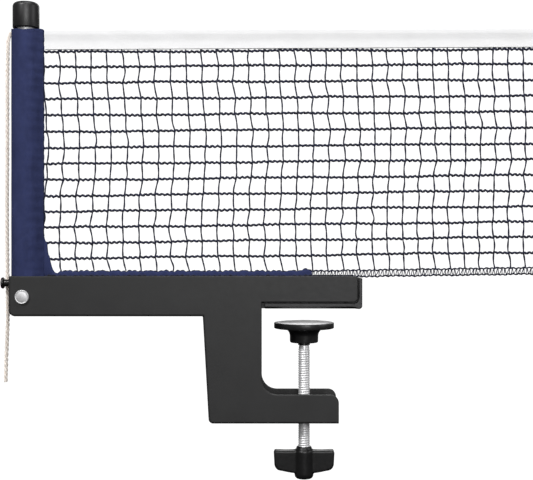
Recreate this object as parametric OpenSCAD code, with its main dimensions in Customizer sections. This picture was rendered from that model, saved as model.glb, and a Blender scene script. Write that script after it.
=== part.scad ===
// Table tennis net clamp: a steel bracket with a clamp screw, a post, and the end of the net on it.
// Millimetres. +X runs along the net, +Y away from the front plate, +Z up. The origin is on the
// clamp screw's axis, on the face of the boot that rests on the table top.

/* [Bracket] */
// Outer width over both side plates
bracket_w = 24; // [22.5:0.5:28]
// Thickness of the side plates and of the spine web
sheet = 1.5; // [1.2:0.1:1.6]
// Left end of the arm
arm_left = -159; // [-159.5:0.1:-158.8]
// Top edge of the arm
arm_top = 17.6; // [17.2:0.1:17.7]
// Bottom edge of the arm
arm_bottom = -4; // [-5:0.1:-3.5]
// Right end of the side plates on the upper jaw
upper_tip = 28.4; // [26:0.1:30]
// Underside of the side plates on the upper jaw
upper_bottom = 3.7; // [3:0.1:4.5]
// Edge of the throat
throat_x = -23.2; // [-24:0.1:-22.8]
// Left edge of the drop, at the arm
drop_x_top = -54.8; // [-58:0.1:-50]
// Left edge of the drop, at the lower jaw
drop_x_bottom = -51.7; // [-55:0.1:-48]
// Top edge of the lower jaw
lower_top = -46; // [-47:0.1:-45.5]
// Bottom edge of the lower jaw
lower_bottom = -61.6; // [-63:0.1:-61]
// Right end of the lower jaw
lower_tip = 18.3; // [16:0.1:22]
// Radius of the throat's lower corner
throat_r = 8.5; // [4:0.5:10]

/* [Jaw boot] */
// How far the rubber stands proud of the side plates
boot_proud = 0.4; // [0.2:0.1:0.6]
// Thickness of the boot's end lip
boot_lip = 2.45; // [2:0.05:3]
// Top of the end lip
boot_top = 16.4; // [14:0.1:16.5]

/* [Post] */
// Axis of the post
post_x = -152.3; // [-152.3:0.1:-152]
// Radius of the post
post_r = 5; // [4.6:0.1:5.1]
// Wall of the post
post_wall = 1; // [0.8:0.1:1.5]
// Gap under the foot of the post
post_foot_gap = 1.2; // [1.1:0.1:2]
// Top of the post
post_top = 164; // [160:1:165]
// Radius of the cap
cap_r = 7.23; // [6.8:0.01:7.23]
// Top of the cap
cap_top = 167; // [166.5:0.5:170]
// Centre of the rivet
rivet_x = -151.6; // [-152:0.1:-151.5]
// Height of the rivet
rivet_z = 6.5; // [5:0.1:7]
// Radius of the rivet's heads
rivet_head_r = 3.8; // [3.4:0.1:4]

/* [Clamp screw] */
// Radius of the screw over its thread
screw_r = 3.175; // [3.1:0.005:3.175]
// Radius of the tapped boss's bore
boss_bore_r = 3.2; // [3.2:0.005:3.25]
// Radius of the ball on the screw's end
ball_r = 3.5; // [3.4:0.05:3.5]
// Centre of the ball
ball_z = -14; // [-14.1:0.1:-13.9]
// Radius of the neck below the ball
neck_r = 2.6; // [2.4:0.05:2.6]

/* [Swivel pad] */
// Radius of the pad
pad_r = 16.4; // [14:0.1:16.6]
// Top face of the pad
pad_top = -7.9; // [-8:0.1:-7.5]
// Radius of the pad's hub
hub_r = 7.8; // [7:0.1:8]

/* [Wing knob] */
// Half the width over the wings
wing_half = 16.4; // [14:0.1:18]
// Top of the wings
wing_top = -77.8; // [-79:0.1:-77]
// Thickness of the wings
wing_t = 6; // [5:0.5:7]
// Radius of the knob's hub
knob_r = 5.25; // [5:0.05:6]

/* [Net] */
// Top of the net
net_top = 152.5; // [152:0.1:152.6]
// Right end of the stretch of net, at a vertical thread
net_right = 129; // [100:1:140]
// Thickness of the netting
netting_t = 0.9; // [0.6:0.1:1.2]
// Inner radius of the sleeve
sleeve_r = 7.55; // [7.55:0.05:7.7]
// Thickness of the sleeve's cloth
cloth = 0.65; // [0.5:0.05:0.7]
// Height of the white tape
tape_h = 10.4; // [8:0.1:15]
// Radius of the net's cord
cord_r = 1.15; // [1:0.05:1.15]

/* [Hidden] */
$fn = 96;

far = 400;                        // longer than any cut that it makes
inner_w = bracket_w - 2 * sheet;  // between the side plates
plate_y = (bracket_w - sheet) / 2;
black_steel = [0.2, 0.2, 0.21];
black_plastic = [0.12, 0.12, 0.13];
zinc = [0.75, 0.75, 0.77];
navy = [0.17, 0.19, 0.38];

// Corner radii of the side plates
arm_corner = 3.3;
upper_corner = 2.2;
lower_corner = 4.5;
edge_corner = 1;

// Rivet and its bushes
rivet_shank_r = 2.5;
rivet_dome = 1.5;
bush_r = 4;

// Stud that the net's cord hooks behind
stud_z = 13.5;
stud_neck_r = 2;
stud_head_r = 3.1;
stud_neck_end = -164.6;
stud_head_end = -165.9;

// Swivel pad and neck
facing_r = 14.8;
facing_t = 0.8;
rim_drop = 0.2;
pad_bottom = -11.2;
hub_bottom = -19;
hub_fillet = 3;
socket_gap = 0.05;
retainer_r = 5;
retainer_hole_r = 3.2;
retainer_top = -14.8;
washer_r = 3.3;
washer_top = -19.4;
washer_gap = 0.05;
shoulder_z = -20.4;

// Thread boss on the lower jaw
boss_r = 6;
boss_h = 6;
web_hole_r = 3.5;

// Wing knob and the hexagon end of the screw inside it
collar_top = -75.8;
collar_r = 4.1;
wing_side_z = -86.8;
wing_draft = 0.6;
wing_corner = 3;
wing_low = -90.6;
knob_bottom = -93.7;
knob_round = 2;
hex_r = 4;
hex_top = -84;
hex_bottom = -91;

// Net
sleeve_out = sleeve_r + cloth;
seam_x = -142.7;                  // where the sleeve's seam ends and the netting starts
seam_half = 0.8;
sleeve_bottom = arm_top + 0.3;
tape_bottom = net_top - tape_h;
tape_half_top = 1.7;
tape_half = 0.95;
tape_cord_z = net_top - cord_r - 1.2;
tape_cord_x = -139.6;
band_bottom = 16.6;
band_top = 20.3;
band_right = 4.4;
band_half = 0.85;
hem_bottom = 16.7;
hem_h = 4;
hem_rise = 1.9;                   // how far the net's lower edge climbs by its right end
gusset = [[-142.7, 40], [-141.4, 34], [-139.8, 28], [-137.6, 23]];  // slanting edge, top to bottom

// The free cord: out of the back of the tape, round the back of the sleeve, down behind the stud
cord_route = [[-138.5, 1.7, 150.2], [-138.5, 3.4, 150.2], [-139.8, 5.6, 150.4], [-142.4, 7.3, 150.9],
              [-145.4, 8.6, 151.5], [-148.7, 9.5, 152.1], [-152.3, 9.9, 152.6], [-156.2, 9.7, 153],
              [-159.6, 8.6, 153], [-162, 6.8, 151.8], [-163.1, 5.1, 149], [-163.3, 3.9, 145],
              [-163.2, 3, 139], [-163.2, 2.4, 124], [-163.2, 2.4, 100], [-163.3, 2.6, 80],
              [-163.5, 2.9, 60], [-163.5, 3.1, 40], [-163.4, 3.3, 22], [-163.3, 3.4, 10],
              [-163.4, 3.9, 2], [-163.5, 4.4, -6], [-163.9, 4.7, -17], [-164.4, 4.6, -30],
              [-164.6, 4.4, -41.4]];
cord_sides = 8;
cord_steps = 3;                   // rings between one route point and the next

// Points of an arc about [x, z], from angle a to angle b
function arc(x, z, r, a, b, n = 8) =
    [for (i = [0 : n]) let (t = a + (b - a) * i / n) [x + r * cos(t), z + r * sin(t)]];

// Left edge of the drop at height z
function drop_x(z) = drop_x_top
    + (drop_x_bottom - drop_x_top) * (arm_bottom - z) / (arm_bottom - lower_bottom);

// The bracket's outer edge from the arm's left end to the lower jaw, set in by d
function spine(d) = concat(
    [[arm_left + d, arm_top]],
    arc(arm_left + arm_corner, arm_bottom + arm_corner, arm_corner - d, 180, 270),
    [[drop_x(arm_bottom + d) + d, arm_bottom + d]],
    arc(drop_x(lower_bottom) + edge_corner + sheet, lower_bottom + edge_corner + sheet,
        edge_corner + sheet - d, 180, 270));

function reversed(list) = [for (i = [len(list) - 1 : -1 : 0]) list[i]];

// Extrudes an outline drawn in X and Z across the bracket, w wide about Y = 0
module across(w) { rotate([90, 0, 0]) linear_extrude(w, center = true) children(); }

// A cylinder along Y from y0 to y1
module pin_y(x, z, r, y0, y1) {
    translate([x, y1, z]) rotate([90, 0, 0]) cylinder(h = y1 - y0, r = r);
}

module plate_outline() {
    polygon(concat(
        spine(0),
        arc(lower_tip - edge_corner, lower_bottom + edge_corner, edge_corner, -90, 0, 4),
        arc(lower_tip - lower_corner, lower_top - lower_corner, lower_corner, 0, 90),
        arc(throat_x + throat_r, lower_top + throat_r, throat_r, 270, 180, 16),
        [[throat_x, upper_bottom]],
        arc(upper_tip - upper_corner, upper_bottom + upper_corner, upper_corner, -90, 0, 6),
        arc(upper_tip - edge_corner, arm_top - edge_corner, edge_corner, 0, 90, 4)));
}

module side_plate(y) {
    difference() {
        translate([0, y, 0]) across(sheet) plate_outline();
        pin_y(rivet_x, rivet_z, rivet_shank_r, -far, far);
    }
}

module front_plate() { color(black_steel) side_plate(-plate_y); }

module rear_plate() { color(black_steel) side_plate(plate_y); }

module spine_web() {
    color(black_steel) difference() {
        across(inner_w) polygon(concat(
            spine(0), [[lower_tip, lower_bottom], [lower_tip, lower_bottom + sheet]],
            reversed(spine(sheet))));
        translate([0, 0, lower_bottom - sheet]) cylinder(h = 3 * sheet, r = web_hole_r);
        translate([arm_left - sheet, 0, stud_z]) rotate([0, 90, 0])
            cylinder(h = 3 * sheet, r = stud_neck_r);
    }
}

module thread_boss() {
    color(zinc) translate([0, 0, lower_bottom + sheet]) difference() {
        cylinder(h = boss_h, r = boss_r);
        translate([0, 0, -1]) cylinder(h = boss_h + 2, r = boss_bore_r);
    }
}

module jaw_boot() {
    lip_x = upper_tip + boot_lip;
    boot_left = throat_x + 1.9;
    boot_w = bracket_w + 2 * boot_proud;
    corner = 1.2;
    plug_top = 12;
    plug_left = throat_x - 1;
    plug_low = 0.5;
    tongue_w = 12;
    color(black_plastic) {
        across(boot_w) polygon(concat(
            [[boot_left, upper_bottom], [boot_left, 0]],
            arc(lip_x - corner, corner, corner, -90, 0, 6),
            arc(lip_x - corner, boot_top - corner, corner, 0, 90, 6),
            [[upper_tip, boot_top]],
            arc(upper_tip - upper_corner, upper_bottom + upper_corner, upper_corner, 0, -90, 6)));
        across(tongue_w) polygon([[plug_left, plug_top], [plug_left, plug_low],
                                  [boot_left + 3, plug_low], [boot_left + 3, plug_top]]);
        across(inner_w) polygon(concat(
            [[boot_left + 2, plug_top], [boot_left + 2, upper_bottom]],
            arc(upper_tip - upper_corner, upper_bottom + upper_corner, upper_corner, -90, 0, 6),
            [[upper_tip, plug_top]]));
    }
}

module post_tube() {
    foot = arm_bottom + sheet + post_foot_gap;
    color(zinc) difference() {
        translate([post_x, 0, foot]) cylinder(h = post_top - foot, r = post_r);
        translate([post_x, 0, foot - 1]) cylinder(h = far, r = post_r - post_wall);
        pin_y(rivet_x, rivet_z, rivet_shank_r, -far, far);
    }
}

module post_cap() {
    round = 3;
    skirt = net_top + 0.4;
    color(black_plastic) translate([post_x, 0, 0]) rotate_extrude() polygon(concat(
        [[post_r, skirt], [cap_r, skirt]],
        arc(cap_r - round, cap_top - round, round, 0, 90),
        [[0, cap_top], [0, post_top], [post_r, post_top]]));
}

module post_rivet() {
    seat = bracket_w / 2;
    edge = 0.5;
    color(zinc) {
        pin_y(rivet_x, rivet_z, rivet_shank_r, -seat, seat);
        for (side = [0, 180])
            translate([rivet_x, 0, rivet_z]) rotate([90 + side, 0, 0]) rotate_extrude() polygon(
                concat([[0, seat], [rivet_head_r, seat]],
                       arc(rivet_head_r - edge, seat + rivet_dome - 2 * edge, edge, 0, 70, 6),
                       [[0, seat + rivet_dome]]));
    }
}

module post_spacers() {
    color(zinc) for (side = [-1, 1]) difference() {
        pin_y(rivet_x, rivet_z, bush_r, min(side * post_r, side * inner_w / 2),
              max(side * post_r, side * inner_w / 2));
        pin_y(rivet_x, rivet_z, rivet_shank_r, -far, far);
    }
}

module cord_stud() {
    round = 0.5;
    web_in = arm_left + sheet;
    color(black_steel) translate([0, 0, stud_z]) rotate([0, -90, 0]) rotate_extrude() polygon(
        concat([[0, -web_in], [stud_neck_r, -web_in], [stud_neck_r, -stud_neck_end],
                [stud_head_r, -stud_neck_end]],
               arc(stud_head_r - round, -stud_head_end - round, round, 0, 90, 6),
               [[0, -stud_head_end]]));
}

module neck_washer() {
    color(black_steel) translate([0, 0, shoulder_z + washer_gap]) difference() {
        cylinder(h = washer_top - shoulder_z - washer_gap, r = washer_r);
        translate([0, 0, -1]) cylinder(h = 3, r = neck_r + 0.1);
    }
}

module clamp_screw() {
    color(zinc) {
        translate([0, 0, ball_z]) sphere(r = ball_r);
        translate([0, 0, shoulder_z]) cylinder(h = ball_z - shoulder_z, r = neck_r);
        translate([0, 0, hex_top]) cylinder(h = shoulder_z - hex_top, r = screw_r);
        translate([0, 0, hex_bottom]) cylinder(h = hex_top - hex_bottom, r = hex_r, $fn = 6);
    }
}

// One wing's outline from the knob's axis outwards
function wing() = concat(
    [[0, wing_low], [knob_r, wing_low], [wing_half - 5, wing_low + 0.9]],
    arc(wing_half - wing_draft - wing_corner, wing_side_z, wing_corner, -65, -5, 6),
    arc(wing_half - 1, wing_top - 1, 1, 0, 90, 4));

module wing_knob() {
    half = wing();
    color(black_plastic) difference() {
        union() {
            across(wing_t) polygon(concat(half, reversed([for (p = half) [-p[0], p[1]]])));
            rotate_extrude() polygon(concat(
                [[0, knob_bottom]],
                arc(knob_r - knob_round, knob_bottom + knob_round, knob_round, -90, 0, 6),
                [[knob_r, wing_top], [collar_r, collar_top], [0, collar_top]]));
        }
        translate([0, 0, hex_top]) cylinder(h = far, r = screw_r);
        translate([0, 0, hex_bottom]) cylinder(h = hex_top - hex_bottom, r = hex_r, $fn = 6);
    }
}

module pad_body() {
    rim = pad_top - rim_drop;
    edge = 1;
    color(black_plastic) difference() {
        rotate_extrude() polygon(concat(
            [[0, rim]],
            arc(pad_r - edge, rim - edge, edge, 90, 0, 4),
            [[pad_r, pad_bottom]],
            arc(hub_r + hub_fillet, pad_bottom - hub_fillet, hub_fillet, 90, 180),
            [[hub_r, hub_bottom], [0, hub_bottom]]));
        translate([0, 0, pad_top - facing_t]) cylinder(h = 5, r = facing_r);
        translate([0, 0, ball_z]) sphere(r = ball_r + socket_gap);
        translate([0, 0, hub_bottom - 1]) cylinder(h = retainer_top - hub_bottom + 1, r = retainer_r);
    }
}

module pad_facing() {
    color([0.8, 0.8, 0.81]) translate([0, 0, pad_top - facing_t]) cylinder(h = facing_t, r = facing_r);
}

module ball_retainer() {
    color(black_plastic) difference() {
        translate([0, 0, hub_bottom]) cylinder(h = retainer_top - hub_bottom, r = retainer_r);
        translate([0, 0, hub_bottom - 1]) cylinder(h = 10, r = retainer_hole_r);
        translate([0, 0, ball_z]) sphere(r = ball_r + socket_gap);
    }
}

module net_sleeve() {
    color(navy) translate([0, 0, sleeve_bottom]) difference() {
        union() {
            translate([post_x, 0, 0]) cylinder(h = net_top - sleeve_bottom, r = sleeve_out);
            translate([post_x, -seam_half, 0])
                cube([seam_x - post_x, 2 * seam_half, net_top - sleeve_bottom]);
        }
        translate([post_x, 0, -1]) cylinder(h = far, r = sleeve_r);
    }
}

// Height of the netting's lower edge at x, beyond the band
function hem_z(x) = hem_bottom + hem_rise * (x - band_right) / (net_right - band_right);

module net_panel() {
    color([0.1, 0.1, 0.2]) across(netting_t) polygon(concat(
        [[seam_x, tape_bottom]], gusset,
        [[-134, band_top], [band_right, band_top], [band_right, hem_bottom + hem_h],
         [net_right, hem_z(net_right) + hem_h], [net_right, tape_bottom]]));
}

module top_tape() {
    bulge_z = tape_cord_z - 2.5;
    color("white") difference() {
        translate([seam_x, 0, 0]) rotate([90, 0, 90]) linear_extrude(net_right - seam_x) polygon(concat(
            [[tape_half, tape_bottom], [tape_half, bulge_z - 2], [tape_half_top, bulge_z]],
            arc(0, net_top - tape_half_top, tape_half_top, 0, 180, 12),
            [[-tape_half_top, bulge_z], [-tape_half, bulge_z - 2], [-tape_half, tape_bottom]]));
        translate([tape_cord_x, 0, tape_cord_z]) rotate([0, 90, 0]) cylinder(h = far, r = cord_r);
    }
}

module tape_cord() {
    color("white") translate([tape_cord_x, 0, tape_cord_z]) rotate([0, 90, 0])
        cylinder(h = net_right - tape_cord_x, r = cord_r);
}

module bottom_band() {
    color(navy) across(2 * band_half) polygon(concat(
        gusset, [[-134, band_top], [band_right, band_top], [band_right, band_bottom],
                 [seam_x, band_bottom]]));
}

module bottom_hem() {
    color([0.1, 0.1, 0.2]) across(2 * band_half) polygon(
        [[band_right, hem_bottom], [net_right, hem_z(net_right)],
         [net_right, hem_z(net_right) + hem_h], [band_right, hem_bottom + hem_h]]);
}

function unit(v) = v / norm(v);

// A smooth curve through the route's points (Catmull-Rom), and its direction at each point
function knot(p, i) = p[max(0, min(len(p) - 1, i))];
function spline_at(p, i, t) = let (a = knot(p, i - 1), b = knot(p, i), c = knot(p, i + 1), d = knot(p, i + 2))
    (2 * b + (c - a) * t + (2 * a - 5 * b + 4 * c - d) * t * t + (3 * b - a - 3 * c + d) * t * t * t) / 2;
function smooth(p, n) = concat(
    [for (i = [0 : len(p) - 2]) for (j = [0 : n - 1]) spline_at(p, i, j / n)], [p[len(p) - 1]]);
function heading(p, i) = unit(knot(p, i + 1) - knot(p, i - 1));

// Carries a side vector along the curve without twisting it
function carry(p, i, side, done) = i == len(p) ? done
    : let (t = heading(p, i), s = unit(side - (side * t) * t)) carry(p, i + 1, s, concat(done, [s]));

// A closed tube of radius r round the points p
module tube(p, r, sides) {
    across_dirs = carry(p, 0, [0, 0, 1], []);
    rings = [for (i = [0 : len(p) - 1]) let (u = across_dirs[i], v = cross(heading(p, i), u))
        for (k = [0 : sides - 1]) let (a = 360 * k / sides) p[i] + r * (cos(a) * u + sin(a) * v)];
    last = (len(p) - 1) * sides;
    polyhedron(rings, concat(
        [[for (k = [0 : sides - 1]) k]],
        [for (i = [0 : len(p) - 2]) for (k = [0 : sides - 1]) let (a = i * sides, b = (k + 1) % sides)
            [a + k, a + sides + k, a + sides + b, a + b]],
        [[for (k = [sides - 1 : -1 : 0]) last + k]]));
}

module tension_cord() { color("white") tube(smooth(cord_route, cord_steps), cord_r, cord_sides); }

front_plate();
rear_plate();
spine_web();
thread_boss();
jaw_boot();
post_tube();
post_cap();
post_rivet();
post_spacers();
cord_stud();
neck_washer();
clamp_screw();
wing_knob();
pad_body();
pad_facing();
ball_retainer();
net_sleeve();
net_panel();
top_tape();
tape_cord();
bottom_band();
bottom_hem();
tension_cord();
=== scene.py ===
import random
from math import acos, atan2, copysign, cos, exp, hypot, log, pi, radians, sin

import bmesh
import bpy
from mathutils import Matrix, Vector


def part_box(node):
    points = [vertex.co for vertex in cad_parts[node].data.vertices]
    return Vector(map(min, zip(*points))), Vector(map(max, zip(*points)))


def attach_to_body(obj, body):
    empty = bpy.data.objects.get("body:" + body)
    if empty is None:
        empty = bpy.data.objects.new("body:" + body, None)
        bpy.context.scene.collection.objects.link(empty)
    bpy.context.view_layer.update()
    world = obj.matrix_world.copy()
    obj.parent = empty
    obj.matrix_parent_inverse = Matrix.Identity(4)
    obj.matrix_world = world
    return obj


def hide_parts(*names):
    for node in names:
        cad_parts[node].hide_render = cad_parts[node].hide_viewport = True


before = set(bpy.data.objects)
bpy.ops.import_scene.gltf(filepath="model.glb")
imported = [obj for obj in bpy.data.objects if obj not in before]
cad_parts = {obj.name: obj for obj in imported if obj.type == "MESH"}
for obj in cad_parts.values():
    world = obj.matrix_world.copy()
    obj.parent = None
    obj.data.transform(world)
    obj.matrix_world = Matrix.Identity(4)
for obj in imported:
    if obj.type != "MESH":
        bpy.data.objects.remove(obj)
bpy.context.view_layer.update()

MM = 0.001


def box(node):
    """Lowest and highest corner of a CAD node, in millimetres."""
    low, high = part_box(node)
    return low / MM, high / MM


SLEEVE_LOW, SLEEVE_HIGH = box("net_sleeve")
NET_LOW, NET_HIGH = box("net_panel")
TAPE_LOW, TAPE_HIGH = box("top_tape")
BAND_LOW, BAND_HIGH = box("bottom_band")
CAP_LOW, CAP_HIGH = box("post_cap")
PLATE_LOW, PLATE_HIGH = box("front_plate")
WEB_LOW, WEB_HIGH = box("spine_web")
SHEET = PLATE_HIGH.y - PLATE_LOW.y
POST_X = (CAP_LOW.x + CAP_HIGH.x) / 2


# ---------------- camera, stage and light


CAMERA_PLACE = (-0.02055, -0.548, 0.03704)
CAMERA_LENS = 67.54
CAMERA_SENSOR = 36


def add_object(name, data):
    """A new object in the scene."""
    obj = bpy.data.objects.new(name, data)
    bpy.context.scene.collection.objects.link(obj)
    return obj


def make_camera():
    """A camera that looks straight along +Y."""
    data = bpy.data.cameras.new("camera")
    data.sensor_width = CAMERA_SENSOR
    data.lens = CAMERA_LENS
    camera = add_object("camera", data)
    camera.location = CAMERA_PLACE
    camera.rotation_euler = (radians(90), 0, 0)
    bpy.context.scene.camera = camera


def make_light(name, location, target, energy, size):
    """A round lamp, size metres across, turned to target."""
    data = bpy.data.lights.new(name, "AREA")
    data.energy = energy
    data.shape = "DISK"
    data.size = size
    light = add_object(name, data)
    light.location = location
    aim = Vector(target) - Vector(location)
    light.rotation_euler = aim.to_track_quat("-Z", "Y").to_euler()


def add_node(tree, kind, **inputs):
    """A new shader node. Each input, a _ standing for a space, takes a value or a link from a socket."""
    node = tree.nodes.new(kind)
    for name, value in inputs.items():
        socket = node.inputs[name.replace("_", " ")]
        if isinstance(value, bpy.types.NodeSocket):
            tree.links.new(value, socket)
        else:
            socket.default_value = value
    return node


def make_world(strength, below, seen):
    """Even white light, dimmer from below. The backdrop is seen brighter than it lights the object."""
    dim_until, bright_from = -0.35, 0.1
    world = bpy.data.worlds.new("studio")
    bpy.context.scene.world = world
    world.use_nodes = True
    tree = world.node_tree
    background = tree.nodes["Background"]
    background.inputs["Color"].default_value = (1, 1, 1, 1)
    place = add_node(tree, "ShaderNodeTexCoord")
    split = add_node(tree, "ShaderNodeSeparateXYZ", Vector=place.outputs["Generated"])
    height = add_node(tree, "ShaderNodeMapRange", Value=split.outputs["Z"],
                      From_Min=dim_until, From_Max=bright_from, To_Min=below, To_Max=strength)
    path = add_node(tree, "ShaderNodeLightPath")
    mix = add_node(tree, "ShaderNodeMapRange", Value=path.outputs["Is Camera Ray"],
                   To_Min=height.outputs["Result"], To_Max=seen)
    tree.links.new(mix.outputs["Result"], background.inputs["Strength"])


# ---------------- materials


WAVE_RATIO = 0.314        # the wave texture's scale for ribs one unit apart
RAMP_START = 0.3          # the part of a noise's range that is stretched over the whole change
RAMP_END = 0.7


class Finish:
    """A procedural material built up from a Principled shader."""

    def __init__(self, name, color, roughness, **sockets):
        self.material = bpy.data.materials.new(name)
        self.material.use_nodes = True
        self.material.diffuse_color = (*color, 1)
        self.tree = self.material.node_tree
        self.shader = self.tree.nodes["Principled BSDF"]
        self.color = color
        self.shader.inputs["Base Color"].default_value = (*color, 1)
        self.shader.inputs["Roughness"].default_value = roughness
        for socket, value in sockets.items():
            self.shader.inputs[socket.replace("_", " ")].default_value = value
        self.place = self.node("ShaderNodeTexCoord")
        self.normal = None

    def node(self, kind, **inputs):
        return add_node(self.tree, kind, **inputs)

    def feed(self, source, socket):
        """Links source to an input of the shader."""
        self.tree.links.new(source, self.shader.inputs[socket])

    def coords(self, scale=(1, 1, 1), source="Object"):
        """Coordinates in millimetres, times scale."""
        unit = 1 / MM if source == "Object" else 1
        place = self.place.outputs[source]
        return self.node("ShaderNodeMapping", Vector=place, Scale=[unit * s for s in scale]).outputs["Vector"]

    def noise(self, size, detail=2, stretch=(1, 1, 1), source="Object"):
        """Noise whose blobs are about size millimetres across."""
        place = self.coords(stretch, source)
        return self.node("ShaderNodeTexNoise", Vector=place, Scale=1 / size, Detail=detail).outputs["Fac"]

    def wave(self, pitch, direction, source="Object"):
        """Ribs a pitch apart, from 0 to 1."""
        node = self.node("ShaderNodeTexWave", Vector=self.coords(source=source), Scale=WAVE_RATIO / pitch)
        node.wave_type = "BANDS"
        node.bands_direction = direction
        node.wave_profile = "SIN"
        return node.outputs["Fac"]

    def math(self, operation, a, b):
        """One operation on two values, each a number or a socket."""
        node = self.node("ShaderNodeMath")
        node.operation = operation
        for socket, value in zip(node.inputs, (a, b)):
            if isinstance(value, (int, float)):
                socket.default_value = value
            else:
                self.tree.links.new(value, socket)
        return node.outputs["Value"]

    def tint(self, value, dark, light):
        """Colour between dark and light times the base colour, by value from 0 to 1."""
        ramp = self.node("ShaderNodeValToRGB", Fac=value)
        stops = ramp.color_ramp.elements
        for stop, gain, position in zip(stops, (dark, light), (RAMP_START, RAMP_END)):
            gains = gain if isinstance(gain, tuple) else (gain, gain, gain)
            stop.color = (*[min(1, c * g) for c, g in zip(self.color, gains)], 1)
            stop.position = position
        self.feed(ramp.outputs["Color"], "Base Color")

    def rough(self, value, low, high):
        """Roughness between low and high, by value."""
        node = self.node("ShaderNodeMapRange", Value=value, From_Min=RAMP_START, From_Max=RAMP_END,
                         To_Min=low, To_Max=high)
        self.feed(node.outputs["Result"], "Roughness")

    def bump(self, value, depth):
        """Relief of depth millimetres from value, added to any that is there."""
        node = self.node("ShaderNodeBump", Height=value, Strength=1, Distance=depth * MM)
        if self.normal:
            self.tree.links.new(self.normal, node.inputs["Normal"])
        self.normal = node.outputs["Normal"]
        self.feed(self.normal, "Normal")


def powder_coat():
    """Satin black powder coat with a slight orange peel."""
    finish = Finish("powder_coat", (0.0215, 0.0215, 0.0218), 0.46, Specular_IOR_Level=0.3)
    finish.tint(finish.noise(14, 3), 0.93, 1.07)
    finish.rough(finish.noise(3, 4), 0.42, 0.56)
    finish.bump(finish.noise(0.45, 2), 0.03)
    finish.bump(finish.noise(0.12, 1), 0.008)
    return finish.material


def zinc(name, tone, roughness, metallic):
    """Zinc plate, a little cloudy."""
    finish = Finish(name, (tone, tone, tone * 1.015), roughness, Metallic=metallic)
    finish.tint(finish.noise(3, 3), 0.94, 1.03)
    finish.rough(finish.noise(1.5, 3), roughness * 0.85, roughness * 1.15)
    finish.bump(finish.noise(0.5, 2), 0.003)
    return finish.material


def moulded(name, color, roughness, grain, depth, **sockets):
    """Moulded plastic or rubber with a fine spark texture."""
    finish = Finish(name, color, roughness, **sockets)
    finish.tint(finish.noise(6, 3), 0.9, 1.1)
    finish.rough(finish.noise(1.5, 3), roughness * 0.85, roughness * 1.15)
    finish.bump(finish.noise(grain, 2), depth)
    return finish.material


def woven(name, color, pitch, depth, streaks, contrast, **sockets):
    """Plain weave on a UV map in millimetres."""
    finish = Finish(name, color, 0.85, **sockets)
    warp = finish.wave(pitch, "X", "UV")
    weft = finish.wave(pitch, "Y", "UV")
    checker = finish.node("ShaderNodeTexChecker", Vector=finish.coords(source="UV"), Scale=1 / pitch)
    over = finish.math("MULTIPLY", warp, checker.outputs["Fac"])
    under = finish.math("SUBTRACT", 1.0, checker.outputs["Fac"])
    cloth = finish.math("ADD", over, finish.math("MULTIPLY", weft, under))
    patches = finish.math("MULTIPLY", finish.noise(4.5, 4, streaks, "UV"), 0.8)
    weave = finish.math("MULTIPLY", cloth, 0.15)
    finish.tint(finish.math("ADD", patches, weave), 1 - contrast, 1 + contrast)
    finish.rough(finish.noise(2, 2, source="UV"), 0.78, 0.95)
    finish.bump(cloth, depth)
    finish.bump(finish.noise(1.2, 3, streaks, "UV"), depth)
    return finish.material


def thread(name, dark, light):
    """Twisted yarn: fine fibres and soft changes of tone."""
    finish = Finish(name, light, 0.8)
    ratio = tuple(d / l for d, l in zip(dark, light))
    finish.tint(finish.noise(2.5, 3), ratio, (1.0, 1.0, 1.0))
    finish.bump(finish.wave(0.22, "DIAGONAL"), 0.03)
    finish.bump(finish.noise(0.1, 2), 0.02)
    return finish.material


def make_materials():
    made = {
        "powder_coat": powder_coat(),
        "zinc_plate": zinc("zinc_plate", 0.58, 0.5, 0.6),
        "screw_zinc": zinc("screw_zinc", 0.84, 0.42, 0.45),
        "black_stud": moulded("black_stud", (0.01, 0.01, 0.01), 0.25, 0.6, 0.008,
                              Coat_Weight=0.3, Coat_Roughness=0.12),
        "black_rubber": moulded("black_rubber", (0.019, 0.0185, 0.02), 0.5, 0.3, 0.02),
        "cap_plastic": moulded("cap_plastic", (0.007, 0.0065, 0.007), 0.4, 0.35, 0.008,
                               Specular_IOR_Level=0.5),
        "knob_plastic": moulded("knob_plastic", (0.0065, 0.0065, 0.0067), 0.36, 0.3, 0.012,
                                Specular_IOR_Level=0.4),
        "pad_plastic": moulded("pad_plastic", (0.0065, 0.0065, 0.007), 0.36, 0.35, 0.01),
        "grey_facing": moulded("grey_facing", (0.82, 0.82, 0.83), 0.6, 0.5, 0.02),
        "navy_cloth": woven("navy_cloth", (0.0265, 0.0345, 0.101), 0.36, 0.05, (1, 0.45, 1), 0.14,
                            Specular_IOR_Level=0.2),
        "net_thread": thread("net_thread", (0.0015, 0.0017, 0.008), (0.0085, 0.012, 0.042)),
        "white_tape": woven("white_tape", (0.815, 0.815, 0.82), 0.3, 0.02, (0.3, 1, 1), 0.03,
                            Specular_IOR_Level=0.2),
        "cord_yarn": thread("cord_yarn", (0.87, 0.785, 0.71), (0.96, 0.9, 0.835)),
        # painted shade: the darker yarn of the cord's middle tube stands for the shade in the grooves between
        # the strands
        "groove_shade_yarn": thread("groove_shade_yarn", (0.48, 0.42, 0.37), (0.58, 0.52, 0.47)),
    }
    floor = Finish("floor_paint", (0.9, 0.9, 0.9), 0.7)
    floor.tint(floor.noise(400, 2), 0.99, 1.01)
    made["floor"] = floor.material
    return made


# ---------------- mesh building, in millimetres


def quads(rings, wide, closed=True):
    """Faces between neighbouring rings of wide points; closed joins each ring's end to its start."""
    faces = []
    for i in range(rings - 1):
        low, high = i * wide, (i + 1) * wide
        for k in range(wide if closed else wide - 1):
            j = (k + 1) % wide
            faces.append([low + k, low + j, high + j, high + k])
    return faces


def run_at(points, i):
    """The way from the point before place i to the point after it."""
    return points[min(i + 1, len(points) - 1)] - points[max(i - 1, 0)]


def way_along(points):
    """How far each point is along the path through all of them."""
    way = [0.0]
    for a, b in zip(points, points[1:]):
        way.append(way[-1] + (b - a).length)
    return way


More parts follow.
